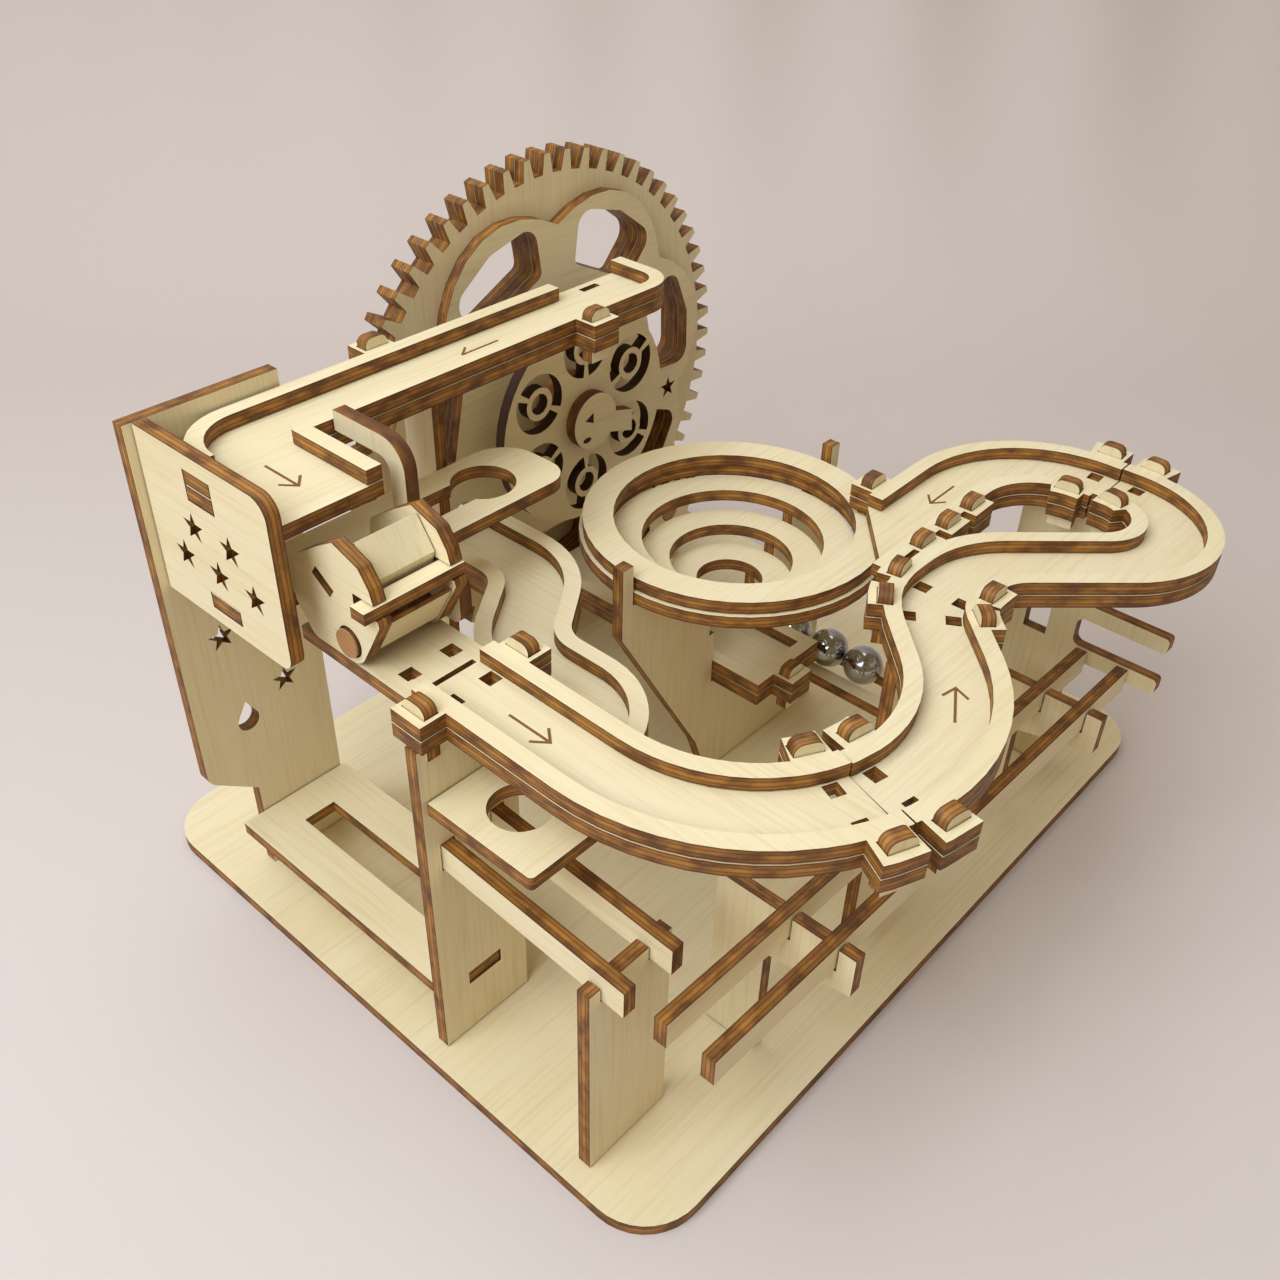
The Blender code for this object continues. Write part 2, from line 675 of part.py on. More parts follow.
def cut_line(corners, cut_x=None, cut_y=None):
    """The part of an arc-cornered centre line up to, and the part from, a seam."""
    line = rounded(corners, False, ROUTE_STEP)
    axis, value = (0, cut_x) if cut_x is not None else (1, cut_y)
    for index, (before, here) in enumerate(zip(line, line[1:])):
        if before[axis] <= value < here[axis]:
            share = (value - before[axis]) / (here[axis] - before[axis])
            meet = tuple(Vector(before).lerp(Vector(here), share))
            return [*line[:index + 1], meet], [meet, *line[index + 1:]]
    return line, []


def run_modules():
    crest_start = CREST_Y - B_RISE
    crest_end = C_FALL - CREST_Y
    whole = [(A_LINE_X, A_START_Y), (A_LINE_X, A_LINE_X + B_RISE, RUN_BEND_A), (crest_start, CREST_Y, RUN_BEND_CREST),
             (crest_end, CREST_Y, RUN_BEND_CREST), (D_LINE_X, C_FALL - D_LINE_X, RUN_BEND_C),
             (D_LINE_X, D_LINE_Y, RUN_BEND_D), (D_END_X, D_LINE_Y)]
    track_a, rest = cut_line(whole, cut_x=SEAM_AB_X)
    track_b, rest = cut_line(rest, cut_x=SEAM_BC_X)
    track_c, track_d = cut_line(rest, cut_y=SEAM_CD_Y)
    z = RUN_Z
    falls = {"track_a": (1, 0, 0), "track_b": (0, 1, 0), "track_c": (0, 1, 0), "track_d": (0, -1, 0)}
    for (name, tilt_axis), line in zip(falls.items(), (track_a, track_b, track_c, track_d)):
        start, end = Vector(line[0]), Vector(line[-1])
        frame = module_frame(name + "_frame", (*start, z), tilt_axis, RUN_TILT)
        trimmed, headings = trim(shifted(line, start))
        short, row = (D_OUTER_SHORT, D_ROW) if name == "track_d" else (0, ())
        route = Route(trimmed, EAR_CHANGES.get(name, {}), headings, short, row)
        floor, holes = bucket_floor(route, start) if name == "track_a" else (None, None)
        if name == "track_d":
            holes = route.tab_holes()[:2]
        track(name, route, 0, frame, floor, holes)
        travel = start.y - end.y if tilt_axis[0] else tilt_axis[1] * (end.x - start.x)
        z -= travel * math.sin(RUN_TILT) + SEAM


def trim(line):
    """Shorten a module by half a seam at each end, so that neighbours stay apart."""
    first, last = Vector(line[0]), Vector(line[-1])
    headings = (Vector(line[1]) - first).normalized(), (last - Vector(line[-2])).normalized()
    first += headings[0] * SEAM / 2
    last -= headings[1] * SEAM / 2
    between = [p for p in line[1:-1] if min((Vector(p) - first).length, (Vector(p) - last).length) > SEAM]
    return [tuple(first), *between, tuple(last)], headings


def bucket_floor(route, start):
    """Module A's floor runs on behind its start as the platform under the bucket."""
    half = EDGE
    rear = BUCKET_PLATFORM_REAR - start.y
    left, right = route.side(-half, eared=True), route.side(half, eared=True)
    floor = [(-half, rear), *left, *right[::-1], (half, rear)]
    mouth = box(-CHANNEL / 2 + GAP, CHANNEL / 2 - GAP, 0.4, 1.6)
    platform_holes = [box(x - TAB_HOLE / 2, x + TAB_HOLE / 2, TAB_HOLE_INSET, TAB_HOLE_INSET + TAB_HOLE)
                      for x in (-TAB_HOLE_OFFSET - 0.4, TAB_HOLE_OFFSET + 0.4)]
    return floor, [*route.tab_holes(), *platform_holes, mouth]


# Tipping bucket
def bucket():
    y, z = BUCKET_PIVOT_Y, BUCKET_PIVOT_Z
    pivot = circle(y, z, BUCKET_DOWEL + RUNNING_GAP, DOWEL_SIDES)
    rise, rear, front = BUCKET_RISE, BUCKET_REAR, BUCKET_FRONT
    swing = z - BUCKET_FOOT
    nose = Vector((-1.5 * front, 0.38 * rise))
    heel_start = math.atan2(nose.y, nose.x) + math.acos(swing / nose.length)
    heel = arc((y, z), swing, heel_start, 1.5 * math.pi)
    outline = rounded([*heel, (y + 0.7 * rear, BUCKET_FOOT, 2), (y + rear, z + 0.1 * rise, 2),
                       (y + 0.9 * rear, z + 0.6 * rise, 2), (y + 0.42 * rear, z + 0.85 * rise), (y + 0.1 * rear, z + rise),
                       (y - 0.82 * front, z + 0.89 * rise, 1), (y - 1.2 * front, z + 0.72 * rise, 1),
                       (y + nose.x, z + nose.y, 1)])
    bar_z = z + 0.45 * rise
    bar_slot = box(y - 1.6 * front, y - 0.42 * front, bar_z - GAP, bar_z + SCOOP_PLY + GAP)
    middle = Vector((y + 0.38 * rear, z + 0.5 * rise))
    lean = Vector((math.cos(BUCKET_SLOT_LEAN), math.sin(BUCKET_SLOT_LEAN)))
    tab_slot = [tuple(middle + lean * u * BUCKET_SLOT / 2 + lean.orthogonal() * v * SCOOP_PLY / 2)
                for u, v in ((-1, -1), (1, -1), (1, 1), (-1, 1))]
    left = plate("bucket_left_side", notch(outline, bar_slot), "X", BUCKET_LEFT, [pivot, tab_slot])
    right_x = BUCKET_LEFT + BUCKET_WIDTH - PLY
    right = plate("bucket_right_side", notch(outline, bar_slot), "X", right_x, [pivot, tab_slot])
    inside = BUCKET_LEFT + LAYER
    width = BUCKET_WIDTH - 2 * LAYER
    path = [Vector((y + 0.04 * rear, z + 0.93 * rise)), Vector((y - 0.52 * front, z + 0.65 * rise)),
            Vector((y - 0.16 * front, z + 0.27 * rise)), Vector((y + 0.81 * rear, z + 0.32 * rise))]
    marked = list(zip(stations(path), path))
    normals = mitres(marked)
    scoop = [tuple(p + n * SCOOP_PLY / 2) for p, n in zip(path, normals)]
    scoop += [tuple(p - n * SCOOP_PLY / 2) for p, n in reversed(list(zip(path, normals)))]
    plate("bucket_scoop", scoop, "X", inside, thickness=width)
    bar = box(BUCKET_LEFT - BAR_OVERHANG, BUCKET_LEFT + BUCKET_WIDTH, y - 1.4 * front, y - 0.8 * front)
    plate("bucket_front_bar", bar, "Z", bar_z, thickness=SCOOP_PLY)
    return left, right


def notch(outline, slot):
    """Open a slot from a side plate's front edge: its far corners go between the edge's crossings."""
    low, high, depth = slot[0][1], slot[2][1], slot[1][0]
    result = []
    for before, here in zip(outline[-1:] + outline[:-1], outline):
        crossing = before[1] > high and here[1] < low and here[0] < depth
        if crossing:
            share = [(before[1] - level) / (before[1] - here[1]) for level in (high, low)]
            edge = [before[0] + (here[0] - before[0]) * part for part in share]
            result += [(edge[0], high), (depth, high), (depth, low), (edge[1], low)]
        result.append(here)
    return result


def guide_hook():
    foot = RUN_Z + LAYER + 0.6
    y, z = BUCKET_PIVOT_Y, BUCKET_PIVOT_Z
    leg = HOOK_LEG_Y
    bar = HOOK_TOP - HOOK_WIDTH
    rear = UPPER_FRONT - GAP
    outline = rounded([(y - 6, foot, 2), (leg + 8, foot, 2), (leg + 8, z + 5, 2), (leg + HOOK_WIDTH, z + 6, 1.5),
                       (leg + HOOK_WIDTH, bar, 3), (rear, bar), (rear, HOOK_TOP), (leg, HOOK_TOP, 6), (leg, z + 6, 1.5),
                       (y - 6, z + 5, 2)])
    hook = plate("guide_hook", outline, "X", HOOK_X)
    bar_end = BUCKET_LEFT - 0.6
    join(hook, [dowel("bucket_dowel", BUCKET_DOWEL, "X", bar_end, HOOK_X + PLY - 0.6, (y, z), cutter=True)])


# Left posts and plates
def left_posts():
    slot = RAIL_DEPTH + 2 * GAP
    holes = [box(x - GAP, x + LAYER, CHUTE_TOP - RAIL_DEPTH - GAP, CHUTE_TOP - RAIL_DEPTH - GAP + slot)
             for x in CHUTE_RAIL_X]
    brace_x = (MID_POST_LEFT + MID_POST_RIGHT) / 2
    holes.append(box(brace_x - 4 - GAP, brace_x + 4 + GAP, BRACE_Z - GAP, BRACE_Z + LAYER))
    top = RUN_Z - 2 * GAP
    plate("mid_post", box(MID_POST_LEFT, MID_POST_RIGHT, DECK, top), "Y", MID_POST_Y, holes)

    rail_foot = chute_z(FRONT_POST_Y) - RAIL_DEPTH
    comb = [(FRONT_POST_LEFT, DECK), (FRONT_POST_RIGHT, DECK), (FRONT_POST_RIGHT, FRONT_POST_TOP)]
    for x in reversed(CHUTE_RAIL_X):
        seat = rail_foot - GAP
        comb += [(x + LAYER, FRONT_POST_TOP), (x + LAYER, seat), (x - GAP, seat), (x - GAP, FRONT_POST_TOP)]
    comb.append((FRONT_POST_LEFT, FRONT_POST_TOP))
    plate("front_post", comb, "Y", FRONT_POST_Y)

    rear = MID_POST_Y - GAP
    catch = rounded([(CATCH_LEFT, CATCH_FRONT, 1), (CATCH_RIGHT, CATCH_FRONT, 1), (CATCH_RIGHT, rear), (CATCH_LEFT, rear)])
    plate("catch_plate", catch, "Z", CATCH_Z, [circle(CATCH_HOLE_X, CATCH_HOLE_Y, CATCH_HOLE_RADIUS)])

    start = MID_POST_Y + LAYER
    end = REAR_Y - GAP
    tab_tip = MID_POST_Y + GAP
    brace = [(BRACE_LEFT, start), (brace_x - 4, start), (brace_x - 4, tab_tip), (brace_x + 4, tab_tip),
             (brace_x + 4, start), (BRACE_RIGHT, start), (BRACE_RIGHT, end), (BRACE_LEFT, end)]
    middle = (BRACE_LEFT + BRACE_RIGHT) / 2
    slot = box(middle - BRACE_SLOT_WIDTH / 2, middle + BRACE_SLOT_WIDTH / 2,
               start + BRACE_SLOT_MARGIN, end - BRACE_SLOT_MARGIN)
    plate("brace_plate", brace, "Z", BRACE_Z, [slot])


def chute_z(y):
    """Height of a chute rail's top at a place along it."""
    return CHUTE_TOP - CHUTE_FALL * (MID_POST_Y - y) / (MID_POST_Y - CHUTE_END_Y)


def long_rail_z(x):
    """Height of a long rail's top at a place along it."""
    span = END_SUPPORT_X - LONG_RAIL_START
    return LONG_RAIL_TOP - LONG_RAIL_FALL * (x - LONG_RAIL_START) / span


def rails():
    far = MID_POST_Y + PLY - GAP
    for name, x in zip(("chute_rail_left", "chute_rail_right"), CHUTE_RAIL_X):
        outline = [(CHUTE_END_Y, chute_z(CHUTE_END_Y) - RAIL_DEPTH), (MID_POST_Y, CHUTE_TOP - RAIL_DEPTH),
                   (far, CHUTE_TOP - RAIL_DEPTH), (far, CHUTE_TOP), (MID_POST_Y, CHUTE_TOP),
                   (CHUTE_END_Y, chute_z(CHUTE_END_Y))]
        plate(name, outline, "X", x)
    far = END_SUPPORT_X - GAP
    for name, y in zip(("long_rail_inner", "long_rail_outer"), LONG_RAIL_Y):
        outline = [(LONG_RAIL_START, long_rail_z(LONG_RAIL_START) - RAIL_DEPTH), (far, long_rail_z(far) - RAIL_DEPTH),
                   (far, long_rail_z(far)), (LONG_RAIL_START, long_rail_z(LONG_RAIL_START))]
        plate(name, outline, "Y", y)


def rail_posts():
    for name, x in zip(("rail_post_near", "rail_post_far"), RAIL_POST_X):
        top = long_rail_z(x) - 1.2
        seat = long_rail_z(x + PLY) - RAIL_DEPTH - 2 * GAP
        low = seat - RAIL_ARM_DEPTH / 2
        comb = [(RAIL_POST_LEFT, DECK), (RAIL_POST_RIGHT, DECK), (RAIL_POST_RIGHT, top)]
        for y in LONG_RAIL_Y:
            comb += [(y + LAYER, top), (y + LAYER, seat), (y - GAP, seat), (y - GAP, top)]
        comb += [(RAIL_ARM_END, top), (RAIL_ARM_END, low), (RAIL_POST_LEFT, low - RAIL_ARM_DEPTH / 2)]
        plate(name, comb, "X", x)

    arm = long_rail_z(END_SUPPORT_X) + 0.4
    low = arm - END_ARM_DEPTH
    high = arm + END_ARM_PITCH
    top = run_floor_z("track_c") - GAP
    outline = rounded([(END_SUPPORT_FRONT, DECK), (END_SUPPORT_REAR, DECK), (END_SUPPORT_REAR, top, 2),
                       (END_SUPPORT_FRONT, top, 2), (END_SUPPORT_FRONT, high, 2), (END_ARM_END, high, 1),
                       (END_ARM_END, high - END_ARM_DEPTH, 1), (END_SUPPORT_FRONT, high - END_ARM_DEPTH, 2),
                       (END_SUPPORT_FRONT, arm, 2), (END_ARM_END, arm, 1), (END_ARM_END, low, 1),
                       (END_SUPPORT_FRONT, low, 2)])
    window_y = (END_SUPPORT_FRONT + END_SUPPORT_REAR) / 2
    window = box(window_y - 3, window_y + 3, arm - 1, high + 1)
    plate("end_support", outline, "X", END_SUPPORT_X, [window])

    top = run_floor_z("track_b") - GAP
    plate("track_b_post", box(B_POST_LEFT, B_POST_RIGHT, DECK, top), "Y", B_POST_Y)


def run_floor_z(name):
    """The lowest height of a module's floor, for the post below it."""
    bpy.context.view_layer.update()
    floor = bpy.data.objects[name + "_floor"]
    return min((floor.matrix_world @ vertex.co).z for vertex in floor.data.vertices) / MM


# Funnel of stepped rings on its support
def funnel():
    inner = FUNNEL_RIM_RADIUS - FUNNEL_RIM_WIDTH
    z = FUNNEL_TOP - PLY
    ring("funnel_rim", FUNNEL_RIM_RADIUS, inner, z)
    ring("funnel_under_rim", FUNNEL_RIM_RADIUS + 0.8, inner + 1.0, z - LAYER)
    for step, name in enumerate(("funnel_ring_two", "funnel_ring_three", "funnel_ring_four"), 1):
        hole = inner - FUNNEL_RING_PITCH * step
        ring(name, hole + FUNNEL_RIM_WIDTH, hole, z - FUNNEL_RING_STEP * step - GAP)

    step_half = [(FUNNEL_RIM_RADIUS + 0.8 + GAP, z - LAYER - GAP)]
    for step in (1, 2, 3):
        reach = inner - FUNNEL_RING_PITCH * step + FUNNEL_RIM_WIDTH + GAP
        step_half.append((reach, z - FUNNEL_RING_STEP * step - 2 * GAP))
    plate("funnel_support", support_outline(step_half), "Y", FUNNEL_Y - PLY / 2, [lane_window()])


def ring(name, outer, inner, z):
    plate(name, circle(FUNNEL_X, FUNNEL_Y, outer), "Z", z, [circle(FUNNEL_X, FUNNEL_Y, inner)])


def support_outline(steps):
    """Half steps under the rings, mirrored about the funnel's axis, over a foot with the tray's slot."""
    lug = steps[0][0]
    right = [(lug + FUNNEL_LUG, FUNNEL_LUG_FOOT), (lug + FUNNEL_LUG, FUNNEL_LUG_TOP), (lug, FUNNEL_LUG_TOP)]
    for index, (reach, z) in enumerate(steps):
        right.append((reach, z))
        inner = steps[index + 1][0] if index + 1 < len(steps) else FUNNEL_NOTCH
        right.append((inner, z))
    left = [(-reach, z) for reach, z in reversed(right)]
    slot_left = TRAY_LEFT - GAP - FUNNEL_X
    slot_right = TRAY_LEFT + TRAY_WIDTH + GAP - FUNNEL_X
    slot_low = TRAY_Z - GAP
    slot_high = TRAY_Z + LAYER + BALL_ROOM
    slot = [(FUNNEL_NOTCH, slot_high), (slot_right, slot_high), (slot_right, slot_low),
            (slot_left, slot_low), (slot_left, slot_high), (-FUNNEL_NOTCH, slot_high)]
    toe_left = SUPPORT_TOE_LEFT - FUNNEL_X
    foot = [(toe_left - SUPPORT_TOE_STEP, SUPPORT_TOE_Z), (toe_left, DECK), (lug + FUNNEL_LUG, DECK)]
    return [(FUNNEL_X + x, z) for x, z in [*right, *slot, *left, *foot]]


def lane_window():
    high = LANE_Z + PLY + 2 * BALL_RADIUS + 1
    return box(LANE_LEFT - GAP, LANE_LEFT + LANE_WIDTH + GAP, LANE_Z - GAP, high)


# Tray, ball lane and balls
def tray():
    right = TRAY_LEFT + TRAY_WIDTH
    rear = POCKET_PLATE_Y - TRAY_WHEEL_GAP
    tip = TRAY_FRONT - EAR_DEPTH
    ear_end = TRAY_EAR_X + EAR_LENGTH
    ear = [(TRAY_EAR_X, TRAY_FRONT), (TRAY_EAR_X, tip), (ear_end, tip), (ear_end, TRAY_FRONT)]
    slot = upper_pin_slot(TRAY_EAR_X, TRAY_FRONT, -1)
    floor = [(TRAY_LEFT, TRAY_FRONT), *ear, (right, TRAY_FRONT), (right, rear), (TRAY_LEFT, rear)]
    plate("tray_floor", floor, "Z", TRAY_Z, [slot])
    inside = TRAY_FRONT + WALL
    wall = [*floor[:-1], (right - WALL, rear), (right - WALL, inside), (TRAY_LEFT + WALL, inside),
            (TRAY_LEFT + WALL, rear), (TRAY_LEFT, rear)]
    plate("tray_wall", wall, "Z", TRAY_Z + LAYER, [slot])


def lane():
    middle = LANE_LEFT + LANE_WIDTH / 2
    rear = POCKET_PLATE_Y - LANE_WHEEL_GAP
    outline = box(LANE_LEFT, LANE_LEFT + LANE_WIDTH, LANE_FRONT, rear)
    slot = box(middle - LANE_SLOT / 2, middle + LANE_SLOT / 2, LANE_FRONT + LANE_SLOT_MARGIN, rear - LANE_SLOT_MARGIN)
    plate("return_lane", outline, "Z", LANE_Z, [slot])
    drop = math.sqrt(BALL_RADIUS ** 2 - (LANE_SLOT / 2) ** 2)
    for name, y in (("ball_front", BALL_FRONT_Y), ("ball_middle", BALL_MIDDLE_Y), ("ball_rear", BALL_REAR_Y)):
        round_ball = bmesh.new()
        bmesh.ops.create_uvsphere(round_ball, u_segments=20, v_segments=12, radius=BALL_RADIUS * MM)
        mesh = bpy.data.meshes.new(name)
        round_ball.to_mesh(mesh)
        round_ball.free()
        mesh.shade_smooth()
        solid(name, mesh, steel, (middle, y, LANE_Z + PLY + drop + GAP / 2))


# Lift wheel
def toothed(teeth, phase, x=0.0, z=0.0):
    """Outline of a gear with straight-sided teeth."""
    pitch_radius = TOOTH_MODULE * teeth / 2
    tip = pitch_radius + TOOTH_MODULE * TOOTH_ADDENDUM
    root = pitch_radius - TOOTH_MODULE * TOOTH_DEDENDUM
    pitch = 2 * math.pi / teeth
    outline = []
    for tooth in range(teeth):
        middle = phase + tooth * pitch
        flank = ((root, -TOOTH_ROOT_SHARE), (tip, -TOOTH_TIP_SHARE), (tip, TOOTH_TIP_SHARE), (root, TOOTH_ROOT_SHARE))
        outline += [(x + r * math.cos(middle + share * pitch), z + r * math.sin(middle + share * pitch))
                    for r, share in flank]
    return outline


def pockets():
    """Seven windows that carry a ball each, with rounded corners."""
    windows = []
    for count in range(POCKET_COUNT):
        middle = POCKET_PHASE + 2 * math.pi * count / POCKET_COUNT
        low, high = middle - POCKET_HALF, middle + POCKET_HALF
        crown = polar(POCKET_OUTER_RADIUS / math.cos(POCKET_HALF / 2), middle)
        windows.append(rounded([(*polar(POCKET_INNER_RADIUS, low), POCKET_CORNER_RADIUS / 2),
                                (*polar(POCKET_OUTER_RADIUS, low), POCKET_CORNER_RADIUS),
                                crown, (*polar(POCKET_OUTER_RADIUS, high), POCKET_CORNER_RADIUS),
                                (*polar(POCKET_INNER_RADIUS, high), POCKET_CORNER_RADIUS / 2)]))
    return windows


def lobed_outline():
    """Each pocket has a round lobe, with a dip between neighbours."""
    outline = []
    dip = POCKET_OUTER_RADIUS + LOBE_RIM - LOBE_DIP
    share = 2 * math.pi / POCKET_COUNT
    for count in range(POCKET_COUNT):
        middle = POCKET_PHASE + share * count
        for step in range(8):
            turn = share * (step / 8 - 0.5)
            swing = 0.5 + 0.5 * math.cos(2 * math.pi * turn / share)
            outline.append(polar(dip + LOBE_DIP * math.sqrt(swing), middle + turn))
    return outline


def ring_cut_outs():
    """Round ornaments: a split ring round a small hole, six times about the hub."""
    holes = []
    for count in range(RING_COUNT):
        angle = math.pi / 2 + 2 * math.pi * count / RING_COUNT
        centre = polar(RING_ORBIT, angle)
        holes.append(circle(*centre, RING_HOLE_RADIUS, 12))
        for half in range(2):
            start = angle + math.pi * half + RING_BRIDGE
            end = start + math.pi - 2 * RING_BRIDGE
            holes.append(arc(centre, RING_OUTER_RADIUS, start, end) + arc(centre, RING_INNER_RADIUS, end, start))
    return holes


def wheel():
    bore = circle(WHEEL_X, WHEEL_Z, AXLE_RADIUS + RUNNING_GAP, DOWEL_SIDES)
    disc = circle(WHEEL_X, WHEEL_Z, RING_DISC_RADIUS)
    plate("wheel_ring_disc", disc, "Y", RING_DISC_Y, [bore, *ring_cut_outs()])
    mark = polar((POCKET_INNER_RADIUS + POCKET_OUTER_RADIUS) / 2, POCKET_PHASE - 5 * math.pi / POCKET_COUNT)
    plate("wheel_pocket_plate", lobed_outline(), "Y", POCKET_PLATE_Y, [bore, *pockets(), star(*mark)])
    gear = toothed(WHEEL_TEETH, 0, WHEEL_X, WHEEL_Z)
    for layer, name in enumerate(("wheel_gear_front", "wheel_gear_rear"), 1):
        plate(name, gear, "Y", POCKET_PLATE_Y + LAYER * layer, [bore, *pockets()])

    centre = (WHEEL_X, WHEEL_Z)
    hub_y = RING_DISC_Y - LAYER
    axle = dowel("wheel_axle", AXLE_RADIUS, "Y", hub_y + PLY / 2, stand_y() + 2 * PLY, centre)
    collar = dowel("collar", COLLAR_RADIUS, "Y", RING_DISC_Y + LAYER, POCKET_PLATE_Y - GAP, centre, cutter=True)
    half = HUB_ARM_WIDTH / 2
    lean = math.atan2(half, HUB_RADIUS)
    hub = arc(centre, HUB_RADIUS, lean - 0.35, 2 * math.pi - lean - 0.35)
    hub += [(WHEEL_X + HUB_ARM, WHEEL_Z - 2.5 * half), (WHEEL_X + HUB_ARM, WHEEL_Z - half / 2)]
    join(axle, [collar, plate("hub", hub, "Y", hub_y, cutter=True)])


def stand_y():
    return POCKET_PLATE_Y + 3 * LAYER


def pinion_centre():
    reach = TOOTH_MODULE * (WHEEL_TEETH + PINION_TEETH) / 2 + MESH_GAP
    return polar(reach, PINION_ANGLE)


def stand_and_crank():
    x, z = pinion_centre()
    bore = circle(WHEEL_X, WHEEL_Z, AXLE_RADIUS + RUNNING_GAP, DOWEL_SIDES)
    shaft_hole = circle(x, z, SHAFT_RADIUS + RUNNING_GAP, DOWEL_SIDES)
    outline = rounded([(STAND_LEFT, DECK), (STAND_RIGHT, DECK), (STAND_RIGHT, z + 12, 4),
                       (WHEEL_X + STAND_TOP_HALF, WHEEL_Z + STAND_TOP_RISE, 8),
                       (WHEEL_X - STAND_TOP_HALF, WHEEL_Z + STAND_TOP_RISE, 8)])
    plate("wheel_stand", outline, "Y", stand_y(), [bore, shaft_hole])

    gear_y = POCKET_PLATE_Y + LAYER
    phase = PINION_ANGLE + math.pi + math.pi / PINION_TEETH
    pinion = toothed(PINION_TEETH, phase, x, z)
    plate("drive_pinion", pinion, "Y", gear_y, [shaft_hole], thickness=2 * PLY + GAP)

    arm_y = stand_y() + LAYER
    half = CRANK_HALF_WIDTH
    arm = arc((x, z), half, math.pi / 2, 3 * math.pi / 2)
    arm += arc((x + CRANK_LENGTH, z), half, -math.pi / 2, math.pi / 2)
    crank = dowel("crank", SHAFT_RADIUS, "Y", gear_y, arm_y + PLY / 2, (x, z))
    grip_start = arm_y + PLY / 2
    grip = dowel("grip", SHAFT_RADIUS + 0.8, "Y", grip_start, arm_y + PLY + CRANK_HANDLE, (x + CRANK_LENGTH, z), cutter=True)
    join(crank, [plate("arm", arm, "Y", arm_y, cutter=True), grip])


base()
rear_plate()
star_panel()
upper_track()
keyhole_plate()
wavy_track()
run_modules()
bucket()
guide_hook()
left_posts()
rails()
rail_posts()
funnel()
tray()
lane()
wheel()
stand_and_crank()
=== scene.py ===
"""Looks for the wooden marble run kit: laser-cut plywood, lock pins, engraved arrows and steel balls."""

import math

import bmesh
import bpy
from mathutils import Matrix, Vector


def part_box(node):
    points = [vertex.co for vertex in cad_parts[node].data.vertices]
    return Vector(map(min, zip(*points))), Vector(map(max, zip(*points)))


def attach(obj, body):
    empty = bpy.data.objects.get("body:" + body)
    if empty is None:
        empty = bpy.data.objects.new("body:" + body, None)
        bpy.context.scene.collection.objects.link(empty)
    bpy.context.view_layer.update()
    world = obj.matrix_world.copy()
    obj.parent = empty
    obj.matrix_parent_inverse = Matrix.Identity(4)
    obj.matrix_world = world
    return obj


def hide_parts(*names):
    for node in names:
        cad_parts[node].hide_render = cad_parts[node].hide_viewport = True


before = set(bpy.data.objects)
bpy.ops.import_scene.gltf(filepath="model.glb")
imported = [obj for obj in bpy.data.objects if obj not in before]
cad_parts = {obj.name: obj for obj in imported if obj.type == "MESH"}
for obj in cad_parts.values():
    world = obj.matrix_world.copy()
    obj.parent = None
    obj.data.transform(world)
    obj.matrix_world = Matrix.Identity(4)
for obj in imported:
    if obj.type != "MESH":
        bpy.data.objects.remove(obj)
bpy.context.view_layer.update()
MM = 0.001


# From behind, the cloth lets the camera see through.
def linear(code):
    """A colour written as sRGB hex, as the linear values a shader takes."""
    parts = [int(code[index:index + 2], 16) / 255 for index in (1, 3, 5)]
    return (*[p / 12.92 if p <= 0.04045 else ((p + 0.055) / 1.055) ** 2.4 for p in parts], 1.0)


def add(material, kind, inputs=None, **settings):
    """Add one shader node, with its settings, its input values and the sockets linked to it."""
    node = material.node_tree.nodes.new(kind)
    for name, value in settings.items():
        setattr(node, name, value)
    for key, value in (inputs or {}).items():
        if isinstance(value, bpy.types.NodeSocket):
            material.node_tree.links.new(value, node.inputs[key])
        else:
            node.inputs[key].default_value = value
    return node


def new_material(name):
    material = bpy.data.materials.new(name)
    material.use_nodes = True
    return material, material.node_tree.nodes["Principled BSDF"]


def new_object(name, work):
    """Turn a bmesh into an object of the scene, and free it."""
    mesh = bpy.data.meshes.new(name)
    work.to_mesh(mesh)
    work.free()
    made = bpy.data.objects.new(name, mesh)
    bpy.context.scene.collection.objects.link(made)
    return made


camera_place = Vector((-192.2, -154.3, 231.5)) * MM
look = Vector((0.5998, 0.5248, -0.6040))
right = Vector((0.6707, -0.7414, 0.0218))
up = Vector((0.4364, 0.4181, 0.7967))
camera_data = bpy.data.cameras.new("photo_camera")
camera_data.lens = 36.3
camera_data.sensor_width = 36
camera_data.clip_start = 0.01
camera = bpy.data.objects.new("photo_camera", camera_data)
turn = Matrix((right, up, -look)).transposed().to_4x4()
camera.matrix_world = Matrix.Translation(camera_place) @ turn
bpy.context.scene.collection.objects.link(camera)
bpy.context.scene.camera = camera
bpy.context.scene.view_settings.view_transform = "Standard"

CLOTH_WIDTH = 4.0
CLOTH_FRONT = -1.6
CLOTH_BEND = 0.24
CLOTH_RADIUS = 0.16
CLOTH_HANG = 0.9
CLOTH_STEPS = (320, 150)
FOLD_PITCH = 0.09
FOLD_DEPTH = 0.004
FOLD_DRIFT = 9
table_paint, shader = new_material("table_cloth")
shader.inputs["Base Color"].default_value = linear("#d0c5be")
shader.inputs["Roughness"].default_value = 0.8
side_seen = add(table_paint, "ShaderNodeNewGeometry").outputs["Backfacing"]
clear = add(table_paint, "ShaderNodeBsdfTransparent")
one_sided = add(table_paint, "ShaderNodeMixShader", {0: side_seen, 1: shader.outputs[0], 2: clear.outputs[0]})
surface = table_paint.node_tree.nodes["Material Output"].inputs["Surface"]
table_paint.node_tree.links.new(one_sided.outputs[0], surface)
ahead = Vector((look.x, look.y, 0)).normalized()
aside = Vector((ahead.y, -ahead.x, 0))
quarter_turn = math.pi / 2
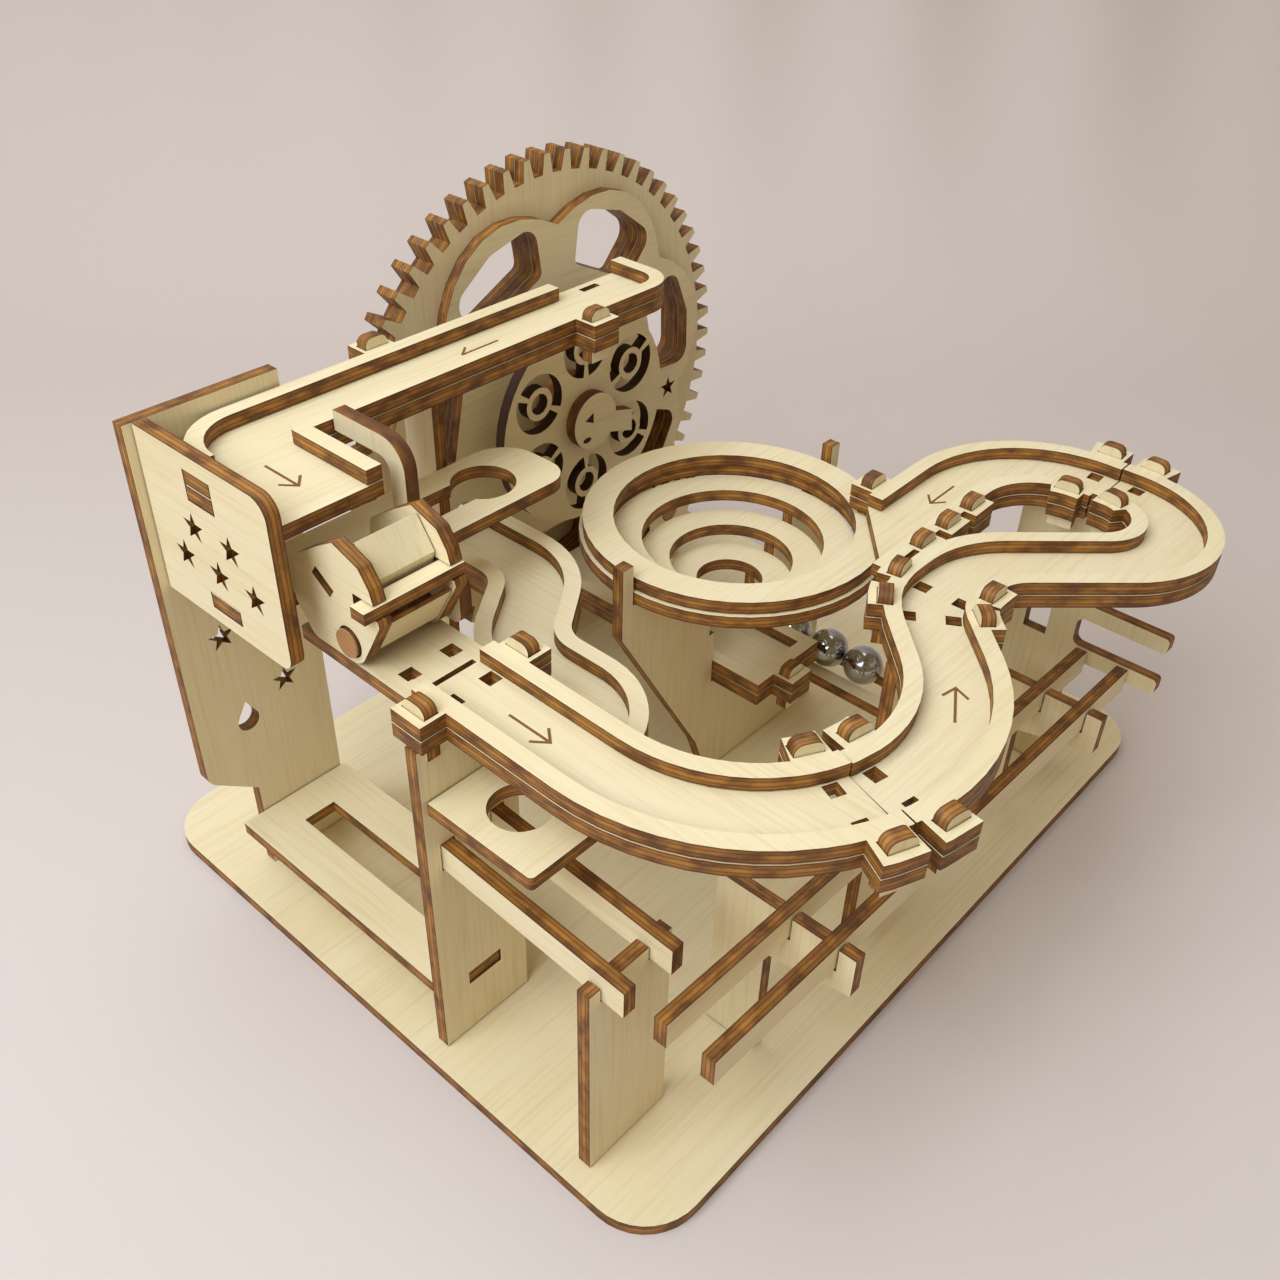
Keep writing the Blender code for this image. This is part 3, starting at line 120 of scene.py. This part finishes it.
cloth_length = CLOTH_BEND - CLOTH_FRONT + CLOTH_RADIUS * quarter_turn + CLOTH_HANG
table = bmesh.new()
bmesh.ops.create_grid(table, x_segments=CLOTH_STEPS[0], y_segments=CLOTH_STEPS[1], size=0.5)
for vertex in table.verts:
    across = vertex.co.x * CLOTH_WIDTH
    run = CLOTH_FRONT + (vertex.co.y + 0.5) * cloth_length
    bend = min(max((run - CLOTH_BEND) / CLOTH_RADIUS, 0), quarter_turn)
    hang = max(run - CLOTH_BEND - CLOTH_RADIUS * quarter_turn, 0)
    wave = math.sin(across * 2 * math.pi / FOLD_PITCH + math.sin(across * FOLD_DRIFT))
    depth = min(run, CLOTH_BEND) + CLOTH_RADIUS * math.sin(bend) - FOLD_DEPTH * math.sin(bend) ** 2 * wave
    height = CLOTH_RADIUS * (1 - math.cos(bend)) + hang
    vertex.co = ahead * depth + aside * across + Vector((0, 0, height))
table_top = new_object("table_top", table)
table_top.data.shade_smooth()
table_top.data.materials.append(table_paint)

# Lamps: name, place and size in metres, watts
LAMPS = (("window", (-0.50, -0.02, 0.55), 0.5, 4.7),
         ("ceiling", (-0.05, 0.20, 1.05), 0.8, 4.9),
         ("bounce", (0.25, -0.75, 0.45), 0.8, 0.5))
LAMP_AIM = Vector((0, 0, 0.06))
world = bpy.data.worlds.new("studio")
world.use_nodes = True
world.node_tree.nodes["Background"].inputs["Color"].default_value = linear("#ecd2a0")
world.node_tree.nodes["Background"].inputs["Strength"].default_value = 0.36
bpy.context.scene.world = world
for lamp_name, place, size, watts in LAMPS:
    lamp_data = bpy.data.lights.new(lamp_name, "AREA")
    lamp_data.size = size
    lamp_data.energy = watts
    lamp_data.color = linear("#e9f2ff")[:3]
    lamp = bpy.data.objects.new(lamp_name, lamp_data)
    lamp.location = place
    lamp.rotation_euler = (LAMP_AIM - Vector(place)).to_track_quat("-Z", "Y").to_euler()
    bpy.context.scene.collection.objects.link(lamp)


# Plywood sheets
# Every flat part is cut by laser from birch plywood of about 3 mm. The faces stay pale, with fine straight
# grain, and the beam burns the cut edges dark brown, where the plies show as lines along the edge.
FACE_TONES = ("#e9debb", "#dfcd9e")
STREAK_TONE = "#c3a569"
OUTER_PLIES = ("#5f3510", "#683c12")
INNER_PLIES = ((0.22, "#9d6a26"), (0.33, "#784816"), (0.42, "#ab772e"),
               (0.58, "#ab772e"), (0.67, "#784816"), (0.78, "#9d6a26"))
CHAR_TONE = "#46210a"
CHAR_MOST = 0.75
# Painted shade: the near-black that the ring disc's cut edges are darkened to, over the real char, standing for the
# shade inside its cut-outs.
PAINTED_SHADE_TONE = "#2f1507"
RING_PAINTED_SHADE = 0.95
SQUARE_ON = 0.7


def sheet_normal(piece):
    """The direction across a flat part, from the faces that hold the most area."""
    area = {}
    for face in piece.data.polygons:
        way = face.normal if max(face.normal, key=abs) > 0 else -face.normal
        key = tuple(round(value, 2) for value in way)
        total, kept = area.get(key, (0.0, way.copy()))
        area[key] = (total + face.area, kept)
    return max(area.values(), key=lambda entry: entry[0])[1].normalized()


def blend(material, share, low, high):
    """Mix two colours by a share. Each is a hex code or the output of another node."""
    ends = [linear(end) if isinstance(end, str) else end for end in (low, high)]
    return add(material, "ShaderNodeMix", {0: share, 6: ends[0], 7: ends[1]}, data_type="RGBA").outputs[2]


def birch_plywood(piece, rim=None, painted_shade=0.0):
    """Bare laser-cut birch plywood. rim is given for a bent part, whose burnt edges face that way. The last argument
    is the least share of near-black on the edges. It is painted shade: it darkens the real char to stand for the
    shade inside small cut-outs."""
    def reach(axis):
        """How far the part goes along a direction."""
        places = [vertex.co.dot(axis) for vertex in piece.data.vertices]
        return max(places) - min(places)

    across = sheet_normal(piece)
    low = min(vertex.co.dot(across) for vertex in piece.data.vertices)
    axes = [Vector((1, 0, 0)), Vector((0, 1, 0)), Vector((0, 0, 1))]
    grain = max((axis - across * axis.dot(across) for axis in axes), key=reach)
    grain.normalize()
    beside = across.cross(grain)

    material, shader = new_material("birch_plywood_" + piece.name)
    place = add(material, "ShaderNodeTexCoord")

    def measure(way, size_mm, start=0.0):
        """Distance along a direction, counted in steps of a real size."""
        dot = add(material, "ShaderNodeVectorMath", {0: place.outputs["Object"], 1: way}, operation="DOT_PRODUCT")
        moved = add(material, "ShaderNodeMath", {0: dot.outputs["Value"], 1: start}, operation="SUBTRACT")
        return add(material, "ShaderNodeMath", {0: moved.outputs[0], 1: size_mm * MM}, operation="DIVIDE").outputs[0]

    def noise(along_mm, beside_mm, across_mm, **inputs):
        """Noise whose patches have these sizes along the grain, beside it and across the sheet."""
        sizes = {0: measure(grain, along_mm), 1: measure(beside, beside_mm), 2: measure(across, across_mm)}
        at = add(material, "ShaderNodeCombineXYZ", sizes)
        return add(material, "ShaderNodeTexNoise", {"Vector": at.outputs[0], "Scale": 1.0, **inputs}).outputs[0]

    # Grain: fine long streaks, over slow drifts of tone
    streak = noise(25, 0.8, 6, Detail=4.0, Roughness=0.6)
    drift = noise(40, 14, 20, Detail=2.0)
    pale = blend(material, drift, *FACE_TONES)
    streak_share = add(material, "ShaderNodeMapRange", {0: streak, 1: 0.48, 2: 0.78, 3: 0.0, 4: 0.38})
    face = blend(material, streak_share.outputs[0], pale, STREAK_TONE)

    # Burnt edge: outer plies charred, the core ply between glue lines a little lighter, uneven along the cut
    layer = add(material, "ShaderNodeMath", {0: measure(across, 1, low), 1: reach(across) / MM}, operation="DIVIDE")
    plies = add(material, "ShaderNodeValToRGB", {0: layer.outputs[0]})
    ramp = plies.color_ramp
    ramp.interpolation = "EASE"
    ramp.elements[0].color = linear(OUTER_PLIES[0])
    ramp.elements[1].position = 1.0
    ramp.elements[1].color = linear(OUTER_PLIES[1])
    for position, code in INNER_PLIES:
        ramp.elements.new(position).color = linear(code)
    scorch = noise(5, 5, 2.5, Detail=3.0)
    # Where painted shade is asked for, the edges darken towards near-black, standing for the shade inside small
    # cut-outs.
    char = add(material, "ShaderNodeMapRange", {0: scorch, 1: 0.4, 2: 0.64, 3: painted_shade, 4: max(CHAR_MOST, painted_shade)})
    edge = blend(material, char.outputs[0], plies.outputs[0], PAINTED_SHADE_TONE if painted_shade else CHAR_TONE)

    normal = place.outputs["Normal"]
    facing = add(material, "ShaderNodeVectorMath", {0: normal, 1: rim or across}, operation="DOT_PRODUCT")
    square = add(material, "ShaderNodeMath", {0: facing.outputs["Value"]}, operation="ABSOLUTE")
    test = "LESS_THAN" if rim else "GREATER_THAN"
    flat = add(material, "ShaderNodeMath", {0: square.outputs[0], 1: SQUARE_ON}, operation=test)
    tone = blend(material, flat.outputs[0], edge, face)
    material.node_tree.links.new(tone, shader.inputs["Base Color"])
    shader.inputs["Roughness"].default_value = 0.62
    shader.inputs["IOR"].default_value = 1.5
    bump = add(material, "ShaderNodeBump", {"Strength": 0.25, "Distance": 0.06 * MM, "Height": streak})
    material.node_tree.links.new(bump.outputs[0], shader.inputs["Normal"])
    return material


balls = ("ball_front", "ball_middle", "ball_rear")
for name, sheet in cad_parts.items():
    if name == "crank" or name in balls:
        continue
    rim = Vector((1, 0, 0)) if name == "bucket_scoop" else None
    # The ring disc's edges get painted shade, nearly black, for the shade that falls inside its cut-outs.
    painted_shade = RING_PAINTED_SHADE if name == "wheel_ring_disc" else 0.0
    sheet.material_slots[0].material = birch_plywood(sheet, rim, painted_shade)


# Bucket apron
# A thin plywood strip closes the bucket's front below its bar. It lies between the two side plates, just
# behind their front edges, and leaves a gap under the bar. The points are Y and Z, from the bucket's pivot.
BUCKET_PIVOT = Vector((3.0, 92.6)) * MM
FRONT_TOP = Vector((-9.3, 7.6)) * MM
FRONT_FOOT = Vector((-3.7, -2.1)) * MM
APRON_THICK = 0.9 * MM
APRON_INSET = 0.3 * MM
APRON_SIDE_GAP = 0.3 * MM
APRON_SPAN = (0.12, 0.96)
fall = (FRONT_FOOT - FRONT_TOP).normalized()
inward = Vector((-fall.y, fall.x))
middle = BUCKET_PIVOT + FRONT_TOP.lerp(FRONT_FOOT, sum(APRON_SPAN) / 2) + inward * (APRON_INSET + APRON_THICK / 2)
apron_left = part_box("bucket_left_side")[1][0] + APRON_SIDE_GAP
apron_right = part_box("bucket_right_side")[0][0] - APRON_SIDE_GAP
apron_length = (FRONT_FOOT - FRONT_TOP).length * (APRON_SPAN[1] - APRON_SPAN[0])
strip = bmesh.new()
bmesh.ops.create_cube(strip, size=1.0)
bmesh.ops.scale(strip, vec=(apron_right - apron_left, APRON_THICK, apron_length), verts=strip.verts)
lean = Matrix(((1, 0, 0), (0, inward.x, -fall.x), (0, inward.y, -fall.y)))
bmesh.ops.rotate(strip, cent=(0, 0, 0), matrix=lean, verts=strip.verts)
bmesh.ops.translate(strip, vec=((apron_left + apron_right) / 2, *middle), verts=strip.verts)
apron = new_object("bucket_apron", strip)
apron.data.materials.append(birch_plywood(apron))
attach(apron, "bucket")


# Wall tab
# The star panel's upper slot is two sheets high. The floor's tab fills its lower half, and this one, of the
# wall above, fills the rest, with its burnt end to the front.
TAB_BEHIND = 1.0 * MM
SAME_PLACE = 0.01 * MM
panel_low, panel_high = (Vector(corner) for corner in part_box("star_panel"))
wall_low, wall_high = (Vector(corner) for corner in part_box("upper_rear_wall"))
floor_corners = [vertex.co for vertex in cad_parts["upper_floor"].data.vertices]
floor_left = min(corner.x for corner in floor_corners)
tab_edge = [corner.y for corner in floor_corners if corner.x - floor_left < SAME_PLACE]
tab_low = Vector((panel_low.x, min(tab_edge), wall_low.z))
tab_high = Vector((panel_high.x + TAB_BEHIND, max(tab_edge), wall_high.z))
block = bmesh.new()
bmesh.ops.create_cube(block, size=1.0)
bmesh.ops.scale(block, vec=tab_high - tab_low, verts=block.verts)
bmesh.ops.translate(block, vec=(tab_low + tab_high) / 2, verts=block.verts)
wall_tab = new_object("wall_tab", block)
wall_tab.data.materials.append(birch_plywood(wall_tab))
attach(wall_tab, "frame")


# Turned beech
# The crank and its grip are sawn from round beech bar. The wood is darker than the plywood, with short
# flecks along the bar. The sawn end of the bucket's dowel, in the hole of its side plate, shows the same wood.
DOWEL_RADIUS = 2.85 * MM
DOWEL_FACE = 0.3 * MM
beech, shader = new_material("oiled_beech")
place = add(beech, "ShaderNodeTexCoord")
stretch = add(beech, "ShaderNodeMapping", {"Vector": place.outputs["Object"], "Scale": (900, 120, 900)})
fleck = add(beech, "ShaderNodeTexNoise", {"Vector": stretch.outputs[0], "Scale": 1.0, "Detail": 3.0})
beech.node_tree.links.new(blend(beech, fleck.outputs[0], "#b98a52", "#8a5a2c"), shader.inputs["Base Color"])
shader.inputs["Roughness"].default_value = 0.5
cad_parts["crank"].material_slots[0].material = beech

hook_low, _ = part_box("guide_hook")
disc = bmesh.new()
bmesh.ops.create_cone(disc, cap_ends=True, segments=32, radius1=DOWEL_RADIUS, radius2=DOWEL_RADIUS, depth=DOWEL_FACE)
bmesh.ops.rotate(disc, cent=(0, 0, 0), matrix=Matrix.Rotation(math.pi / 2, 3, "Y"), verts=disc.verts)
bmesh.ops.translate(disc, vec=(hook_low[0] - DOWEL_FACE / 2, *BUCKET_PIVOT), verts=disc.verts)
dowel_end = new_object("dowel_end", disc)
dowel_end.data.materials.append(beech)
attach(dowel_end, "frame")


# Lock pins
# A small plywood key with a rounded head goes through each slot and holds a track's wall to its floor.
# The slots are found on the walls, as the small four-sided holes in them.
PIN_LENGTH = 5.5 * MM
PIN_THICK = 2.9 * MM
PIN_ABOVE = 2.2 * MM
PIN_BELOW = 6.6 * MM
PIN_ROUND = 1.7 * MM
HALF_WALL = 1.45 * MM
SLOT_SHORTEST = 5.0 * MM
SLOT_LONGEST = 7.0 * MM


def slots_of(wall):
    """The centre, long direction and up direction of each four-sided hole in a flat part."""
    across = sheet_normal(wall)
    work = bmesh.new()
    work.from_mesh(wall.data)
    bmesh.ops.remove_doubles(work, verts=work.verts, dist=1e-6)
    work.faces.index_update()
    work.verts.index_update()
    sides = {face for face in work.faces if abs(face.normal.dot(across)) < 0.5}
    found = []
    while sides:
        queue = [min(sides, key=lambda face: face.index)]
        sides -= set(queue)
        loop = []
        while queue:
            face = queue.pop()
            loop.append(face)
            near = {other for edge in face.edges for other in edge.link_faces} & sides
            sides -= near
            queue += near
        loop.sort(key=lambda face: face.index)
        corners = sorted({vertex for face in loop for vertex in face.verts}, key=lambda vertex: vertex.index)
        if len(corners) == 8:
            centre = sum((vertex.co for vertex in corners), Vector()) / 8
            flat_edges = [e for face in loop for e in face.edges
                          if abs((e.verts[1].co - e.verts[0].co).normalized().dot(across)) < 0.05]
            longest = max(flat_edges, key=lambda e: e.calc_length())
            if SLOT_SHORTEST < longest.calc_length() < SLOT_LONGEST:
                found.append((centre.copy(), (longest.verts[1].co - longest.verts[0].co).normalized(), across))
    work.free()
    return found


def lock_pin(name, centre, along, above):
    """One key, through the wall at a slot's centre, with its head rounded on both sides."""
    key = bmesh.new()
    bmesh.ops.create_cube(key, size=1.0)
    bmesh.ops.scale(key, vec=(PIN_LENGTH, PIN_THICK, PIN_ABOVE + PIN_BELOW + 2 * HALF_WALL), verts=key.verts)
    top = [edge for edge in key.edges if all(v.co.z > 0 for v in edge.verts)
           and abs(edge.verts[0].co.x - edge.verts[1].co.x) < 1e-6]
    bmesh.ops.bevel(key, geom=top, offset=PIN_ROUND, affect="EDGES", segments=5, profile=0.5, material=-1)
    side = above.cross(along)
    turn = Matrix((along, side, above)).transposed().to_4x4()
    lift = above * (PIN_ABOVE - PIN_BELOW) / 2
    bmesh.ops.transform(key, matrix=Matrix.Translation(centre + lift) @ turn, verts=key.verts)
    pin = new_object(name, key)
    pin.data.materials.append(birch_plywood(pin))
    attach(pin, "frame")


pin_count = 0
for name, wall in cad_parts.items():
    if not name.endswith("_wall"):
        continue
    for centre, along, above in slots_of(wall):
        pin_count += 1
        lock_pin(f"lock_pin_{pin_count:02d}", centre, along, above)


# Engraved arrows
# The laser also burns a shallow arrow into some track floors, to show which way a ball rolls.
# Each is drawn as a thin dark layer on the floor, because a line that fine would not show as a groove.
ARROW_HALF = 5.0 * MM
ARROW_BARB = 3.6 * MM
ARROW_LINE = 0.26 * MM
ARROW_SPREAD = math.radians(40)
MARK_DEPTH = 0.08 * MM
OVER_ALL = 300 * MM


def speckle(material, scale, detail):
    """Even noise in the object's own coordinates."""
    at = add(material, "ShaderNodeTexCoord").outputs["Object"]
    return add(material, "ShaderNodeTexNoise", {"Vector": at, "Scale": scale, "Detail": detail}).outputs[0]


charred, shader = new_material("charred_engraving")
tone = blend(charred, speckle(charred, 900.0, 2.0), "#6b4218", "#8f642f")
charred.node_tree.links.new(tone, shader.inputs["Base Color"])
shader.inputs["Roughness"].default_value = 0.85


def engrave(name, outline, start, aim, heading, node, body, burn):
    """Lay an outline on a node, where a line from start meets it, with its length along heading."""
    _, place, normal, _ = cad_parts[node].ray_cast(start, aim)
    along = (heading - normal * heading.dot(normal)).normalized()
    side = normal.cross(along)
    mark = bmesh.new()
    face = mark.faces.new([mark.verts.new(place + along * u + side * v) for u, v in outline])
    raised = bmesh.ops.extrude_face_region(mark, geom=[face])
    top = [item for item in raised["geom"] if isinstance(item, bmesh.types.BMVert)]
    bmesh.ops.translate(mark, vec=normal * MARK_DEPTH, verts=top)
    bmesh.ops.recalc_face_normals(mark, faces=mark.faces)
    piece = new_object(name, mark)
    piece.data.materials.append(burn)
    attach(piece, body)


def arrow(name, floor, x, y, heading):
    """Lay an arrow on a floor, at a place in mm seen from above."""
    tip = Vector((ARROW_HALF, 0))
    back = Vector((-math.cos(ARROW_SPREAD), math.sin(ARROW_SPREAD)))
    inward = Vector((-back.y, back.x)) * ARROW_LINE
    fork = tip + back * ARROW_LINE * (1 + math.cos(ARROW_SPREAD)) / math.sin(ARROW_SPREAD) + inward
    barb = tip + back * ARROW_BARB
    upper = [barb - inward, barb + inward, fork, Vector((-ARROW_HALF, ARROW_LINE))]
    lower = [Vector((point.x, -point.y)) for point in reversed(upper)]
    outline = [tip + Vector((ARROW_LINE / math.sin(ARROW_SPREAD), 0))] + upper + lower
    above, down = Vector((x * MM, y * MM, OVER_ALL)), Vector((0, 0, -1))
    engrave(name, outline, above, down, Vector((*heading, 0)), floor, "frame", charred)


arrow("arrow_upper", "upper_floor", -25, 38.8, (-1, 0))
arrow("arrow_upper_exit", "upper_floor", -85.5, 24, (0, -1))
arrow("arrow_track_a", "track_a_floor", -80.2, -32, (0, -1))
arrow("arrow_track_b", "track_b_floor", -22.1, -80.3, (0.866, 0.5))
arrow("arrow_track_d", "track_d_floor", 45, -37.1, (-1, 0))


# Hub marks
# Two small dark marks show on the wheel's hub, a wedge above an oval. They are laid on as burnt marks, because
# the photograph doesn't show whether they go through. Their places are X and Z, from the wheel's centre.
HUB_WEDGE_AT = (-2.2 * MM, 1.2 * MM)
HUB_OVAL_AT = (-3.0 * MM, -4.2 * MM)
HUB_MARK_HALF = 1.4 * MM
OVAL_POINTS = 16
HUB_AHEAD = 50 * MM
soot_black, shader = new_material("soot_black")
tone = blend(soot_black, speckle(soot_black, 700.0, 2.0), "#1c0e06", "#3a2010")
soot_black.node_tree.links.new(tone, shader.inputs["Base Color"])
shader.inputs["Roughness"].default_value = 0.9
disc_low, disc_high = (Vector(corner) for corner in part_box("wheel_ring_disc"))
hub_centre = (disc_low + disc_high) / 2
wedge = [(-HUB_MARK_HALF, 0), (HUB_MARK_HALF, -HUB_MARK_HALF), (HUB_MARK_HALF, HUB_MARK_HALF)]
angles = [step * 2 * math.pi / OVAL_POINTS for step in range(OVAL_POINTS)]
oval = [(HUB_MARK_HALF * math.cos(angle), HUB_MARK_HALF / 2 * math.sin(angle)) for angle in angles]
for name, outline, (beside_hub, above_hub) in (("hub_wedge", wedge, HUB_WEDGE_AT), ("hub_oval", oval, HUB_OVAL_AT)):
    before = Vector((hub_centre.x + beside_hub, disc_low.y - HUB_AHEAD, hub_centre.z + above_hub))
    engrave(name, outline, before, Vector((0, 1, 0)), Vector((1, 0, 0)), "wheel_axle", "wheel", soot_black)


# Steel balls
# Ground and polished bearing balls. They mirror the pale room and the brown plywood, with faint handling
# marks. Each takes the place of the faceted solid of the same size.
bearing_steel, shader = new_material("polished_bearing_steel")
smear = speckle(bearing_steel, 260.0, 4.0)
worn = add(bearing_steel, "ShaderNodeMapRange", {0: smear, 1: 0.3, 2: 0.8, 3: 0.08, 4: 0.22})
tone = blend(bearing_steel, smear, "#b9bbbd", "#989a9d")
bearing_steel.node_tree.links.new(tone, shader.inputs["Base Color"])
bearing_steel.node_tree.links.new(worn.outputs[0], shader.inputs["Roughness"])
shader.inputs["Metallic"].default_value = 1.0
for name in balls:
    low, high = (Vector(corner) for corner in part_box(name))
    ball = bmesh.new()
    bmesh.ops.create_icosphere(ball, subdivisions=5, radius=(high.z - low.z) / 2)
    bmesh.ops.translate(ball, vec=(low + high) / 2, verts=ball.verts)
    piece = new_object("polished_" + name, ball)
    piece.data.shade_smooth()
    piece.data.materials.append(bearing_steel)
    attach(piece, name)
    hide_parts(name)


# Box corners as plain lists of numbers
def corners(box):
    return [list(map(float, corner)) for corner in box]
